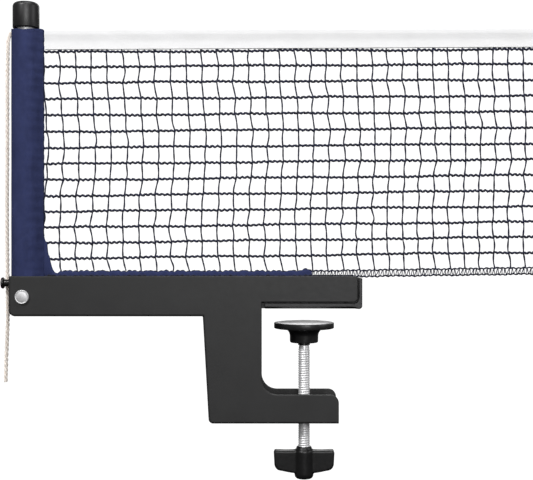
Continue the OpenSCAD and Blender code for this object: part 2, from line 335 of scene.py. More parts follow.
def carried(points, side):
    """Each point with two directions across the path, carried along it without twist."""
    normal = Vector(side)
    for i, point in enumerate(points):
        heading = run_at(points, i).normalized()
        normal = (normal - heading * normal.dot(heading)).normalized()
        yield point, normal, heading.cross(normal)


class Shape:
    """Vertices and faces gathered in millimetres before they become one mesh."""

    def __init__(self):
        self.verts = []
        self.faces = []
        self.uvs = {}

    def add(self, verts, faces, uvs=None):
        """Adds faces between verts, with a UV place for each vertex if uvs is given."""
        start = len(self.verts)
        self.verts.extend(verts)
        for face in faces:
            if uvs:
                self.uvs[len(self.faces)] = [uvs[i] for i in face]
            self.faces.append([start + i for i in face])

    def lathe(self, profile, centre, segments=48, tilt=None):
        """Turns a profile of (radius, height) about the Z axis through centre, or about a tilted axis."""
        verts, faces, rings = [], [], []
        for radius, height in profile:
            if radius < 1e-6:
                rings.append([len(verts)])
                verts.append(Vector((0, 0, height)))
                continue
            rings.append(list(range(len(verts), len(verts) + segments)))
            for i in range(segments):
                angle = 2 * pi * i / segments
                verts.append(Vector((radius * cos(angle), radius * sin(angle), height)))
        for low, high in zip(rings, rings[1:]):
            for i in range(segments):
                j = (i + 1) % segments
                corners = [low[i % len(low)], low[j % len(low)], high[j % len(high)], high[i % len(high)]]
                unique = list(dict.fromkeys(corners))
                if len(unique) > 2:
                    faces.append(unique)
        matrix = Matrix.Translation(Vector(centre)) @ (tilt or Matrix.Identity(4))
        self.add([matrix @ v for v in verts], faces)

    def tube(self, points, section, sides, side=(0, 1, 0)):
        """Sweeps section(i, angle) -> radius along points, with flat ends."""
        verts = []
        for i, (point, normal, other) in enumerate(carried([Vector(p) for p in points], side)):
            for k in range(sides):
                angle = 2 * pi * k / sides
                radius = section(i, angle)
                verts.append(point + radius * (cos(angle) * normal + sin(angle) * other))
        ends = [list(range(sides)), list(range(len(verts) - sides, len(verts)))]
        self.add(verts, quads(len(points), sides) + ends)

    def grid(self, rows, closed=False, uvs=None):
        """A sheet of quads over rows of points; closed joins each row's end to its start."""
        wide = len(rows[0])
        verts = [p for row in rows for p in row]
        self.add(verts, quads(len(rows), wide, closed), [uv for row in uvs for uv in row] if uvs else None)
        return wide

    def block(self, rows):
        """Closed rings of points in a row, with both ends filled."""
        start = len(self.verts)
        wide = self.grid(rows, closed=True)
        self.faces.append([start + k for k in range(wide)])
        self.faces.append([start + (len(rows) - 1) * wide + k for k in range(wide)])


def shell(outer_rows, inner_rows, uvs):
    """Cloth with two skins, closed round its rims."""
    shape = Shape()
    wide = shape.grid(outer_rows, uvs=uvs)
    shape.grid(inner_rows, uvs=uvs)
    steps = len(outer_rows) - 1
    offset = (steps + 1) * wide
    for n in range(wide - 1):
        for base in (0, steps * wide):
            shape.faces.append([base + n, base + n + 1, offset + base + n + 1, offset + base + n])
    for i in range(steps):
        for n in (0, wide - 1):
            a, b = i * wide + n, (i + 1) * wide + n
            shape.faces.append([a, b, offset + b, offset + a])
    return shape


def inset(row, depth):
    """A row of points in one X plane moved sideways by depth, towards +Y at its start."""
    moved = []
    for n, point in enumerate(row):
        run = run_at(row, n)
        normal = Vector((0, run.z, -run.y)).normalized()
        if n == 0:
            sign = 1 if normal.y > 0 else -1
        moved.append(point + normal * sign * depth)
    return moved


def make_object(name, shape, material, sharp=40):
    """A mesh object with its normals outwards, smooth up to the angle sharp."""
    mesh = bpy.data.meshes.new(name)
    mesh.from_pydata([tuple(Vector(v) * MM) for v in shape.verts], [], shape.faces)
    if shape.uvs:
        layer = mesh.uv_layers.new(name="UVMap")
        for face in mesh.polygons:
            for loop, uv in zip(face.loop_indices, shape.uvs.get(face.index, [])):
                layer.data[loop].uv = uv
    editable = bmesh.new()
    editable.from_mesh(mesh)
    bmesh.ops.recalc_face_normals(editable, faces=editable.faces)
    editable.to_mesh(mesh)
    editable.free()
    mesh.materials.append(material)
    obj = add_object(name, mesh)
    shade(obj, sharp)
    return obj


def shade(obj, sharp):
    """Smooth shading, except over edges sharper than sharp degrees."""
    obj.data.shade_smooth()
    obj.data.set_sharp_from_angle(angle=radians(sharp))


def modify(obj, kind, **settings):
    """Adds a modifier of that kind to the object."""
    modifier = obj.modifiers.new(kind.lower(), kind)
    for name, value in settings.items():
        setattr(modifier, name, value)


def bake_modifiers(obj):
    """Makes the result of the object's modifiers its own mesh."""
    bpy.context.view_layer.update()
    graph = bpy.context.evaluated_depsgraph_get()
    mesh = bpy.data.meshes.new_from_object(obj.evaluated_get(graph))
    obj.modifiers.clear()
    obj.data = mesh


def piece(name, shape, slot, body, nodes, sharp=40):
    """An object that rides on a body, takes its finish from a slot and stands for CAD nodes."""
    obj = make_object(name, shape, MATERIALS[slot], sharp)
    attach(obj, body, nodes)
    return obj


def attach(obj, body, nodes):
    """Parents the object to its body's empty and hides the CAD nodes that it stands for."""
    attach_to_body(obj, body)
    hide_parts(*nodes)


def arc(x, z, radius, start, end, steps):
    """Points of an arc about (x, z) from one angle to another, in degrees."""
    turns = [radians(start + (end - start) * i / steps) for i in range(steps + 1)]
    return [(x + radius * cos(t), z + radius * sin(t)) for t in turns]


def blend_in(value, start, end):
    """0 before start, 1 after end, smooth between."""
    t = min(1, max(0, (value - start) / (end - start)))
    return t * t * (3 - 2 * t)


# ---------------- the free cord

CORD_ROUTE = [
    (-138.5, 1.7, 150.2), (-138.5, 3.4, 150.2), (-139.8, 5.6, 150.4), (-142.4, 7.3, 150.9),
    (-145.4, 8.6, 151.5), (-148.7, 9.5, 152.1), (-152.3, 9.9, 152.6), (-156.2, 9.7, 153),
    (-159.6, 8.6, 153), (-162, 6.8, 151.8), (-163.1, 5.1, 149), (-163.3, 3.9, 145),
    (-163.2, 3, 139), (-163.2, 2.4, 124), (-163.2, 2.4, 100), (-163.3, 2.6, 80),
    (-163.5, 2.9, 60), (-163.5, 3.1, 40), (-163.4, 3.3, 22), (-163.3, 3.4, 10),
    (-163.4, 3.9, 2), (-163.5, 4.4, -6), (-163.9, 4.7, -17), (-164.4, 4.6, -30),
    (-164.6, 4.4, -41.4),
]


def smooth_path(points, spacing):
    """A Catmull-Rom curve through points, resampled to an even spacing."""
    span_steps = 24
    knots = [Vector(p) for p in points]
    knots = [2 * knots[0] - knots[1], *knots, 2 * knots[-1] - knots[-2]]
    fine = []
    for a, b, c, d in zip(knots, knots[1:], knots[2:], knots[3:]):
        for step in range(span_steps):
            t = step / span_steps
            fine.append((2 * b + (c - a) * t + (2 * a - 5 * b + 4 * c - d) * t * t
                         + (3 * b - a - 3 * c + d) * t * t * t) / 2)
    fine.append(knots[-2])
    travelled = way_along(fine)
    count = max(2, round(travelled[-1] / spacing))
    even, k = [], 0
    for i in range(count + 1):
        target = travelled[-1] * i / count
        while k < len(fine) - 2 and travelled[k + 1] < target:
            k += 1
        share = (target - travelled[k]) / max(1e-9, travelled[k + 1] - travelled[k])
        even.append(fine[k].lerp(fine[k + 1], min(1, share)))
    return even


def strand_path(centre, radius, pitch, spacing, phase):
    """One strand of a left-laid rope round the points of centre."""
    path = []
    for i, (point, normal, other) in enumerate(carried(centre, (0, 0, 1))):
        turn = phase - 2 * pi * i * spacing / pitch
        path.append(point + radius * (cos(turn) * normal + sin(turn) * other))
    return path


def make_cord():
    """The net's free cord: three strands, and a darker tube in their middle whose colour paints the shade in
    the grooves between them.
    """
    spacing = 0.5
    pitch = 8.3
    strand_r = 0.46
    lay_r = 0.69
    groove_shade_r = 0.62
    centre = smooth_path(CORD_ROUTE, spacing)
    shape = Shape()
    for strand in range(3):
        path = strand_path(centre, lay_r, pitch, spacing, strand * 2 * pi / 3)
        last = len(path) - 1

        def section(i, angle):
            fray = 1 - 0.25 * blend_in(i, last - 3, last)
            return strand_r * fray * (1 + 0.05 * sin(3 * angle + 0.9 * i))

        shape.tube(path, section, 8, (0, 0, 1))
    rope = piece("free_cord", shape, "cord_yarn", "net", ["tension_cord"])
    # painted shade: a darker tube inside the strands, whose colour stands for the shade in the grooves
    # between them
    core = Shape()
    core.tube(centre[1:-4], lambda i, angle: groove_shade_r, 6, (0, 0, 1))
    shade_tube = make_object("cord_groove_shade", core, MATERIALS["groove_shade_yarn"])
    attach(shade_tube, "net", ["tension_cord"])


# ---------------- netting

ROWS = 14                 # horizontal threads above the lower edge
COLUMNS = range(-1, 32)   # vertical threads, the first against the sleeve
ROW_DROP = 2.0            # first row below the tape
ROW_PITCH = 8.72
FIRST_MESH_SHORT = 0.57   # how much shorter the top row of meshes is
ROW_SAG = 0.95            # how far the middle rows hang below even spacing
COLUMN_START = 9.3        # column 0 from the panel's left end
COLUMN_PITCH = 8.75
COLUMN_EASE = 0.0098      # how the columns close up to the right
ROW_R = 0.68
ROW_STEPS = 12            # points of a row between two columns
COLUMN_R = 0.44
COLUMN_STEPS = 8
ROW_RISE = 1.26           # how far the top row climbs over RISE_REACH
LOW_ROW_RISE = 1.84       # how much further the lowest row climbs
RISE_START = 10           # where that climb is nil, from the panel's left end
RISE_REACH = 227
EDGE_RISE = 1.9           # how far the lower edge climbs to the right


def column_x(j, k):
    """Where column j crosses row k, with the slow sway of loose netting."""
    x = NET_LOW.x + COLUMN_START + COLUMN_PITCH * j - COLUMN_EASE * j * j
    across = (x - NET_LOW.x) / (NET_HIGH.x - NET_LOW.x)
    sway = 0.45 - (1.3 - 0.5 * across) * cos(2 * pi * (k - 1.9 + 0.5 * across) / 10.5)
    kink = 0.45 * sin(2.9 * k + 1.3 + 2.2 * across)
    own = 0.35 * sin(5.1 * j + 3.7 * k)
    settled = blend_in(NET_HIGH.x - x, 0, 6)
    return x + (sway + kink + own) * settled


def row_z(k, x):
    """Height of row k at x."""
    if k > ROWS:
        return edge_top(x)
    even = NET_HIGH.z - ROW_DROP - ROW_PITCH * (k - 1) + (FIRST_MESH_SHORT if k > 1 else 0)
    sag = ROW_SAG * sin(pi * (k - 3) / 13) if k > 3 else 0
    climb = ROW_RISE + LOW_ROW_RISE * (k - 1) / (ROWS - 1)
    rise = climb * (x - NET_LOW.x - RISE_START) / RISE_REACH
    slack = 0.22 * sin(0.05 * x + 1.7 * k) + 0.12 * sin(0.17 * x + 2.9 * k)
    return even - sag + rise + slack


def edge_climb(x):
    """How far the lower edge has climbed at x, beyond the band."""
    return EDGE_RISE * max(0, x - BAND_HIGH.x) / (NET_HIGH.x - BAND_HIGH.x)


def edge_top(x):
    """Upper line of the netting's lower edge."""
    return BAND_LOW.z + 3.45 + edge_climb(x) + 0.12 * sin(0.31 * x)


def edge_bottom(x):
    """Lower line of the stitched edge."""
    return BAND_LOW.z + 0.1 + edge_climb(x) * 0.95 + 0.12 * sin(0.27 * x + 1)


def twisted(radius, pitch, spacing):
    """Section of a two-ply thread."""
    lobes = 0.2

    def section(i, angle):
        return radius * (1 + lobes * cos(2 * (angle - 2 * pi * i * spacing / pitch)))
    return section


def row_path(k, draw):
    """A horizontal thread from the sleeve's seam to the right end, with its ripples between knots."""
    seam = NET_LOW.x - 1.2
    crossings = [seam] + [column_x(j, k) for j in COLUMNS]
    path = []
    for left, right in zip(crossings, crossings[1:]):
        if right - left < 0.4:
            continue
        ripple = 0.36 * draw.uniform(0.6, 1.25)
        shift = draw.uniform(-0.6, 0.6)
        for step in range(ROW_STEPS):
            t = step / ROW_STEPS
            x = left + (right - left) * t
            wave = (sin(2 * pi * 3 * t + shift) - sin(shift) * (1 - 2 * t)) * ripple
            z = row_z(k, x) + wave * min(1, (right - left) / COLUMN_PITCH)
            path.append((x, 0.18 * sin(2 * pi * 1.5 * t + shift), z))
    path.append((crossings[-1], 0, row_z(k, crossings[-1])))
    return path


def column_path(j, draw):
    """A vertical thread from the tape down to the lower edge."""
    knots = [Vector((column_x(j, k), 0, row_z(k, column_x(j, k)))) for k in range(1, ROWS + 2)]
    path = [knots[0] + Vector((0, 0, 1.2))]
    for above, below in zip(knots, knots[1:]):
        bow = draw.gauss(0, 0.3)
        late = draw.uniform(0.3, 0.7)
        side = draw.choice((-0.25, 0.25))
        for step in range(COLUMN_STEPS):
            t = step / COLUMN_STEPS
            point = above.lerp(below, t)
            swell = sin(pi * t ** (log(0.5) / log(late)))
            path.append(point + Vector((bow * swell, side * sin(pi * t), 0)))
    path.append(knots[-1])
    return path


def make_netting():
    """The knotted netting: its rows, its columns and a knot at each crossing."""
    draw = random.Random(7)
    shape = Shape()
    for k in range(1, ROWS + 1):
        shape.tube(row_path(k, draw), twisted(ROW_R, 2.4, COLUMN_PITCH / ROW_STEPS), 6)
    for j in COLUMNS:
        shape.tube(column_path(j, draw), twisted(COLUMN_R, 2.6, ROW_PITCH / COLUMN_STEPS), 6)
    for k in range(1, ROWS + 1):
        for j in COLUMNS:
            add_knot(shape, j, k, draw)
    net = piece("netting", shape, "net_thread", "net", ["net_panel"], 80)


def add_knot(shape, j, k, draw):
    """Two turns of thread drawn tight round a crossing."""
    x = column_x(j, k)
    size = draw.uniform(0.9, 1.12)
    profile = [(0, -0.62), (0.42, -0.5), (0.6, -0.22), (0.5, 0), (0.6, 0.22), (0.42, 0.5), (0, 0.62)]
    tilt = Matrix.Rotation(draw.uniform(-0.5, 0.5), 4, "Y")
    shape.lathe([(r * size, h * size) for r, h in profile], (x, 0, row_z(k, x)), 6, tilt)


def edge_thread(shape, line, start, y):
    """A rippled thread along line from start to the right end, at depth y while it runs over the band."""
    step = 0.55
    count = round((NET_HIGH.x - start) / step)
    path = []
    for i in range(count + 1):
        x = start + (NET_HIGH.x - start) * i / count
        wobble = 0.24 * sin(2.15 * x) + 0.1 * sin(0.9 * x)
        over_band = 1 - blend_in(x, BAND_HIGH.x - 0.5, BAND_HIGH.x + 1.5)
        path.append((x, y * over_band + 0.1 * sin(1.3 * x), line(x, over_band) + wobble))
    shape.tube(path, twisted(0.46, 2.4, step), 6)


def make_stitched_edge():
    """The netting's lower edge: a thread along the band's top, dark threads along the band's foot on both
    faces, then two lines joined by overcast stitches.
    """
    draw = random.Random(11)
    shape = Shape()
    over = BAND_LOW.x + 9
    beside = BAND_HIGH.y + 0.1
    edge_thread(shape, lambda x, share: edge_top(x) + (band_top(x) - edge_top(x)) * share, over, 0)
    for y in (-beside, beside):
        edge_thread(shape, lambda x, share: edge_bottom(x) + 0.75 * share, BAND_LOW.x + 1, y)
    stitch_steps = 12
    path, x = [], BAND_HIGH.x - 0.3
    while x < NET_HIGH.x - 2:
        pitch = draw.uniform(1.7, 2.3)
        lean = draw.uniform(-0.2, 0.6)
        for step in range(stitch_steps):
            turn = 2 * pi * step / stitch_steps - pi / 2
            along = x + pitch * step / stitch_steps
            middle = (edge_top(along) + edge_bottom(along)) / 2
            half = (edge_top(along) - edge_bottom(along)) / 2 + 0.1
            swing = sin(turn)
            path.append((along + lean * swing, -0.6 * cos(turn), middle + half * swing))
        x += pitch
    shape.tube(path, twisted(0.25, 1.8, 0.7), 5)
    piece("stitched_edge", shape, "net_thread", "net", ["bottom_hem"], 80)


# ---------------- cloth


def folded_cloth(lengthwise, section, place, thickness):
    """Two skins of cloth along X. place(x, y, share) puts a point of the section at x."""
    rows = [[Vector(place(x, y, share)) for y, share in section] for x in lengthwise]
    uvs = [[(x, around) for around in way_along(row)] for x, row in zip(lengthwise, rows)]
    return shell(rows, [inset(row, thickness) for row in rows], uvs)


def make_tape():
    """The white tape folded over the net's cord."""
    bottom_drop = 0.8
    top_rise, bottom_rise = 0.7, 1.45
    half = TAPE_HIGH.y
    thin = 0.95
    length, tall = TAPE_HIGH.x - TAPE_LOW.x, TAPE_HIGH.z - TAPE_LOW.z
    front = [(-thin, 0), (-thin, 0.12), (-thin, 0.3), (-thin - 0.12, 0.5), (-half + 0.08, 0.68),
             (-half, 0.76), (-half, 0.9), (-half, 0.955), (-half * 0.85, 0.985), (-half * 0.4, 0.998)]
    section = front + [(0, 1.0)] + [(-y, s) for y, s in reversed(front)]

    def place(x, y, s):
        share = (x - TAPE_LOW.x) / length
        bottom = TAPE_LOW.z - bottom_drop + bottom_rise * share
        top = TAPE_HIGH.z + top_rise * share
        ripple = 0.05 * sin(0.21 * x + 2 * s) + 0.03 * sin(0.83 * x + 5 * s)
        pucker = 0.05 * sin(2 * pi * x / 2.6) if 0.05 < s < 0.2 else 0
        swell = 1 + (ripple + pucker) / thin
        return x, y * swell, bottom + (top - bottom) * s

    steps = 130
    start = TAPE_LOW.x + 0.7
    lengthwise = [start + (TAPE_HIGH.x - start) * i / steps for i in range(steps + 1)]
    shape = folded_cloth(lengthwise, section, place, 0.32)
    tape = piece("woven_tape", shape, "white_tape", "net", ["top_tape"], 50)


def sleeve_section():
    """The sleeve's teardrop section from the front of its seam round the post to the back, with normals."""
    outer = POST_X - SLEEVE_LOW.x - 0.3
    flange = SLEEVE_HIGH.x - POST_X - 0.15
    edge = 0.8
    reach = hypot(flange, edge)
    tangent = atan2(edge, flange) + acos(outer / reach)
    touch = Vector((outer * cos(tangent), -outer * sin(tangent)))
    tip = Vector((flange, -edge))
    flat_steps, arc_steps = 8, 44
    front = [tip.lerp(touch, i / flat_steps) for i in range(flat_steps)]
    around = []
    for i in range(arc_steps + 1):
        angle = -tangent - (2 * pi - 2 * tangent) * i / arc_steps
        around.append(Vector((outer * cos(angle), outer * sin(angle))))
    back = [Vector((p.x, -p.y)) for p in reversed(front)]
    points = front + around + back
    normals = []
    for i, point in enumerate(points):
        run = run_at(points, i)
        normal = Vector((run.y, -run.x)).normalized()
        normals.append(normal if normal.dot(point) > 0 else -normal)
    return points, normals


def sleeve_relief(x, z, front):
    """How far the cloth stands out from its plain shape: seam fold, stitches, creases and soft folds."""
    seam_start = SLEEVE_HIGH.x - 5.8
    seam = 0.4 * blend_in(x, seam_start - 0.3, seam_start + 0.1)
    stitch_line = exp(-((x - seam_start - 1.0) / 0.35) ** 2)
    stitch = 0.22 * stitch_line * (0.5 + 0.5 * cos(2 * pi * z / 2.7))
    near_seam = blend_in(x, seam_start - 4, seam_start)
    pucker = 0.15 * near_seam * sin(2 * pi * z / 5.4 + 0.7 * sin(0.3 * z))
    soft = 0.2 * sin(0.11 * z + 0.5 * x) + 0.14 * sin(0.29 * z - 0.35 * x + 2)
    inside = 1 - blend_in(abs(x - POST_X), 6, 8)
    relief = seam - stitch + pucker + soft * inside
    if front:
        relief += sleeve_creases(x - POST_X, z - SLEEVE_LOW.z)
    return relief


def sleeve_creases(x, z):
    """Creases near the foot of the sleeve's front: a curved one, a dimple and a slanting one."""
    centre_x, centre_z, radius = 3.8, 12.6, 8.7
    angle = atan2(z - centre_z, x - centre_x)
    along = blend_in(angle, 1.3, 1.7) * (1 - blend_in(angle, 2.6, 3.0))
    off = hypot(x - centre_x, z - centre_z) - radius
    curved = along * (0.35 * exp(-((off + 1.2) / 0.8) ** 2) - 0.6 * exp(-(off / 0.5) ** 2))
    dimple = -0.45 * exp(-((x - 6.6) / 1.2) ** 2 - ((z - 10) / 0.9) ** 2)
    slant = -0.3 * exp(-((x + 3 + 0.8 * (z - 5)) / 0.9) ** 2 - ((z - 5) / 3) ** 2)
    return curved + dimple + slant


def make_sleeve():
    """The cloth sleeve that slides over the post: an outer and an inner skin."""
    points, normals = sleeve_section()
    steps = 96
    cloth = 0.5
    tuck = 0.9
    over_web = 0.25
    top, low = SLEEVE_HIGH.z, SLEEVE_LOW.z
    way = way_along(points)
    outer_rows, inner_rows, uvs = [], [], []
    for i in range(steps + 1):
        share = i / steps
        outer_row, inner_row, uv_row = [], [], []
        for point, normal, around in zip(points, normals, way):
            x = POST_X + point.x
            inside_web = blend_in(x, WEB_LOW.x + SHEET + 0.2, WEB_LOW.x + SHEET + 0.8)
            beyond_web = 1 - blend_in(x, WEB_LOW.x - 0.5, WEB_LOW.x - 0.2)
            bottom = low - over_web - (tuck - over_web) * (inside_web + beyond_web)
            droop = 0.2 + 1.2 * (max(0, -point.y) / 8) ** 2
            z = bottom + (top - droop * share ** 6 - bottom) * share
            z += 0.12 * sin(0.9 * around) * share ** 8
            relief = sleeve_relief(x, z, point.y < 0)
            relief *= 1 - 0.5 * blend_in(z, top - 1.5, top)
            out = point + normal * max(relief, -0.4)
            inner = point - normal * cloth
            outer_row.append(Vector((POST_X + out.x, out.y, z)))
            inner_row.append(Vector((POST_X + inner.x, inner.y, z)))
            uv_row.append((around, z))
        outer_rows.append(outer_row)
        inner_rows.append(inner_row)
        uvs.append(uv_row)
    shape = shell(outer_rows, inner_rows, uvs)
    sleeve = piece("cloth_sleeve", shape, "navy_cloth", "net", ["net_sleeve"], 60)


def band_top(x):
    """Upper edge of the binding: scallops down from the sleeve, then a gently uneven line."""
    reach = x - BAND_LOW.x
    knots = [(-1, 24.4), (0, 24.4), (2.0, 18.9), (3.2, 11.6), (7.9, 2.3), (9.9, 3.3)]
    for (x0, z0), (x1, z1) in zip(knots, knots[1:]):
        if x0 <= reach < x1:
            return BAND_LOW.z + z1 + (z0 - z1) * ((x1 - reach) / (x1 - x0)) ** 3
    bumps = 0.25 * sin(0.72 * x) + 0.14 * sin(1.9 * x + 1)
    lift = 0.9 * exp(-((x - BAND_HIGH.x + 4) / 2.6) ** 4)
    return BAND_LOW.z + 3.3 + bumps + lift


def make_band():
    """The navy binding folded over the netting's lower edge."""
    half = BAND_HIGH.y
    front = [(-0.55, 1.02), (-0.88, 0.9), (-1, 0.65), (-1, 0.35), (-0.9, 0.14), (-0.45, 0.02)]
    section = front + [(0, 0)] + [(-y, s) for y, s in reversed(front)]

    def place(x, y, s):
        bottom = BAND_LOW.z + 0.15 * sin(0.4 * x)
        end = 1 - 0.55 * blend_in(x, BAND_HIGH.x - 2.5, BAND_HIGH.x)
        fold = 1 + 0.1 * sin(1.1 * x + 4 * s) + 0.06 * sin(2.7 * x)
        return x, y * half * end * fold, bottom + (band_top(x) - bottom) * s

    steps = 260
    start = BAND_LOW.x - 0.6
    lengthwise = []
    for i in range(steps + 1):
        share = i / steps
        lengthwise.append(start + (BAND_HIGH.x - start) * (0.12 * share + 0.88 * share ** 1.6))
    shape = folded_cloth(lengthwise, section, place, 0.3)
    band = piece("bottom_binding", shape, "navy_cloth", "net", ["bottom_band"], 60)


# ---------------- bracket

HALF_OUT = -PLATE_LOW.y
HALF_IN = HALF_OUT - SHEET
ARM_BOTTOM = -4
DROP_TOP_X = -54.8
DROP_BOTTOM_X = -51.7
UPPER_BOTTOM = 3.7
UPPER_TIP = PLATE_HIGH.x
THROAT_X = -23.2
LOWER_TOP = -46
ARM_CORNER = 3.3
SPINE_CORNER = 2.5
THROAT_CORNER = 8.5
JAW_CORNER = 4.5
TIP_CORNER = 2.2
SCREW_HOLE_R = 3.5
PLUG_REACH = 2.9          # how far the boot's plug runs past its band towards the throat


def drop_x(z):
    """The outer edge of the bracket's drop at height z."""
    return DROP_TOP_X + (DROP_BOTTOM_X - DROP_TOP_X) * (ARM_BOTTOM - z) / (ARM_BOTTOM - WEB_LOW.z)


def spine(depth):
    """The bracket's folded outer edge, set in by depth, from the arm's left end to the lower jaw's tip."""
    left, low = WEB_LOW.x, WEB_LOW.z
    return ([(left + depth, WEB_HIGH.z)]
            + arc(left + ARM_CORNER, ARM_BOTTOM + ARM_CORNER, ARM_CORNER - depth, 180, 270, 10)
            + [(drop_x(ARM_BOTTOM + depth) + depth, ARM_BOTTOM + depth)]
            + arc(drop_x(low) + SPINE_CORNER, low + SPINE_CORNER, SPINE_CORNER - depth, 180, 270, 8)
            + [(WEB_HIGH.x, low + depth)])


def free_edge():
    """The open edges of the side plates, from the lower jaw's tip back to the arm."""
    tip, top = WEB_HIGH.x, PLATE_HIGH.z
    return (arc(tip - JAW_CORNER, LOWER_TOP - JAW_CORNER, JAW_CORNER, 0, 90, 10)
            + arc(THROAT_X + THROAT_CORNER, LOWER_TOP + THROAT_CORNER, THROAT_CORNER, 270, 180, 16)
            + [(THROAT_X, UPPER_BOTTOM)]
            + arc(UPPER_TIP - TIP_CORNER, UPPER_BOTTOM + TIP_CORNER, TIP_CORNER, -90, 0, 6)
            + arc(UPPER_TIP - 1, top - 1, 1, 0, 90, 4))


def make_bracket():
    """One sheet folded into a channel: two side plates and the web between them."""
    outer, inner, edge = spine(0), spine(SHEET), free_edge()
    verts, index = [], {}

    def corner(point, y):
        key = (round(point[0], 4), round(point[1], 4), y)
        if key not in index:
            index[key] = len(verts)
            verts.append(Vector((point[0], y, point[1])))
        return index[key]

    faces, folds = [], []

    def strip(line, start, end):
        """Faces along line from one depth to the other."""
        for a, b in zip(line, line[1:]):
            faces.append([corner(a, start), corner(b, start), corner(b, end), corner(a, end)])

    for side in (-1, 1):
        out, back = side * HALF_OUT, side * HALF_IN
        loop = [inner[-1]] + edge + [inner[0]]
        faces.append([corner(p, out) for p in outer + loop])
        faces.append([corner(p, back) for p in inner + edge])
        strip(loop, out, back)
        for a, b in zip(outer, outer[1:]):
            folds.append({corner(a, out), corner(b, out)})
    strip(outer, -HALF_OUT, HALF_OUT)
    strip(inner, -HALF_IN, HALF_IN)
    for end in (0, -1):
        faces.append([corner(outer[end], -HALF_OUT), corner(inner[end], -HALF_OUT),
                      corner(inner[end], -HALF_IN), corner(inner[end], HALF_IN),
                      corner(inner[end], HALF_OUT), corner(outer[end], HALF_OUT)])
    shape = Shape()
    shape.add(verts, faces)
    obj = make_object("bracket_channel", shape, MATERIALS["powder_coat"])
    round_channel(obj, folds)
    cut_hole(obj, (0, 0, WEB_LOW.z), SCREW_HOLE_R, 4)
    shade(obj, 32)
    modify(obj, "WEIGHTED_NORMAL", keep_sharp=True)
    attach(obj, "bracket", ["front_plate", "rear_plate", "spine_web"])


def round_channel(obj, folds):
    """Rounds the folds widely and every other sharp edge a little."""
    fold_r, edge_r = 1.3, 0.5
    editable = bmesh.new()
    editable.from_mesh(obj.data)
    weight = editable.edges.layers.float.new("bevel_weight_edge")
    for edge in editable.edges:
        if {v.index for v in edge.verts} in folds:
            edge[weight] = 1
        elif edge.calc_face_angle(0) > radians(35):
            edge[weight] = edge_r / fold_r
    editable.to_mesh(obj.data)
    editable.free()
    modify(obj, "BEVEL", limit_method="WEIGHT", width=fold_r * MM, segments=4, use_clamp_overlap=False)
    bake_modifiers(obj)


def cut_hole(obj, centre, radius, depth):
    """A round hole along Z."""
    cutter_shape = Shape()
    cutter_shape.lathe([(0, -depth), (radius, -depth), (radius, depth), (0, depth)], centre, 48)
    cutter = make_object("cutter", cutter_shape, obj.data.materials[0])
    modify(obj, "BOOLEAN", object=cutter, solver="EXACT")
    bake_modifiers(obj)
    bpy.data.objects.remove(cutter)


# ---------------- turned and moulded pieces


def make_cap():
    """The post's cap: a skirt round the tube, and a slightly sunk top."""
    radius = (CAP_HIGH.x - CAP_LOW.x) / 2
    top, skirt = CAP_HIGH.z, CAP_LOW.z
    bore = 5.05
    profile = ([(bore, skirt + 8), (bore, skirt + 0.4), (bore + 0.4, skirt), (radius - 0.5, skirt),
                (radius - 0.15, skirt + 0.12), (radius, skirt + 0.5), (radius, top - 2.4)]
               + [(r, z) for r, z in arc(radius - 2.4, top - 2.4, 2.4, 10, 78, 8)]
               + [(radius - 3.2, top - 0.02), (radius - 3.5, top - 0.18), (0, top - 0.2)])
    shape = Shape()
    shape.lathe(profile, (POST_X, 0, 0), 64)
    piece("post_cap_moulding", shape, "cap_plastic", "bracket", ["post_cap"], 50)


def boot_rows():
    """Pairs of points along the boot: on the plates' edge, and on the boot's outer face."""
    low, high = box("jaw_boot")
    lip, corner = high.x, 1.7
    start = low.x + PLUG_REACH
    bend_x, bend_z = UPPER_TIP - TIP_CORNER, UPPER_BOTTOM + TIP_CORNER
    bottom = [(start + (bend_x - start) * i / 12, UPPER_BOTTOM) for i in range(12)]
    bend = arc(bend_x, bend_z, TIP_CORNER, -90, 0, 6)
    side = [(UPPER_TIP, bend_z + (high.z - bend_z) * i / 6) for i in range(1, 7)]
    around = [(UPPER_TIP - 1.5, low.z)] + arc(lip - corner, low.z + corner, corner, -90, 0, 4) + [(lip, 6)]
    return (list(zip(bottom, [(x, low.z) for x, z in bottom])) + list(zip(bend, around))
            + list(zip(side, [(lip, z) for x, z in side])))


def make_boot():
    """The rubber boot: a band round the jaw's end with a groove along the plates, and its plug."""
    low, high = box("jaw_boot")
    groove = 3
    under_cut, end_cut = (1.4, 4.2), (0.5, 0.6)   # height and depth of the bevel below and round the end
    proud, sunk = high.y, HALF_IN - groove
    half = [(0.0, sunk), (0.9, sunk), (0.9, proud - 0.1), (1.0, proud)]
    shape = Shape()
    rows = []
    for near, far in boot_rows():
        near, far = Vector((near[0], 0, near[1])), Vector((far[0], 0, far[1]))
        out = far - near
        tall = out.length
        out.normalize()
        slope, lean = under_cut if out.z < -0.9 else end_cut
        section = half + [(tall - slope, proud), (tall - slope + 0.05, proud - 0.12), (tall, proud - lean)]
        loop = [near + out * min(n, tall) + Vector((0, -y, 0)) for n, y in section]
        rows.append(loop + [Vector((p.x, -p.y, p.z)) for p in reversed(loop)])
    shape.block(rows)
    right, slot_top = UPPER_TIP - 0.2, UPPER_BOTTOM + 1.5
    throat = low.x + PLUG_REACH + 1
    tongue = [(low.x, slot_top), (low.x, low.z + 0.1), (throat, low.z + 0.1), (right - 2, UPPER_BOTTOM),
              (right, slot_top)]
    block = [(low.x, 12), (low.x, slot_top - 0.3), (right, slot_top - 0.3), (right, 12)]
    for ring, half_width in ((tongue, HALF_IN - 2.8), (block, HALF_IN)):
        shape.block([[Vector((x, y, z)) for x, z in ring] for y in (-half_width, half_width)])
    piece("jaw_boot_moulding", shape, "black_rubber", "bracket", ["jaw_boot"], 40)


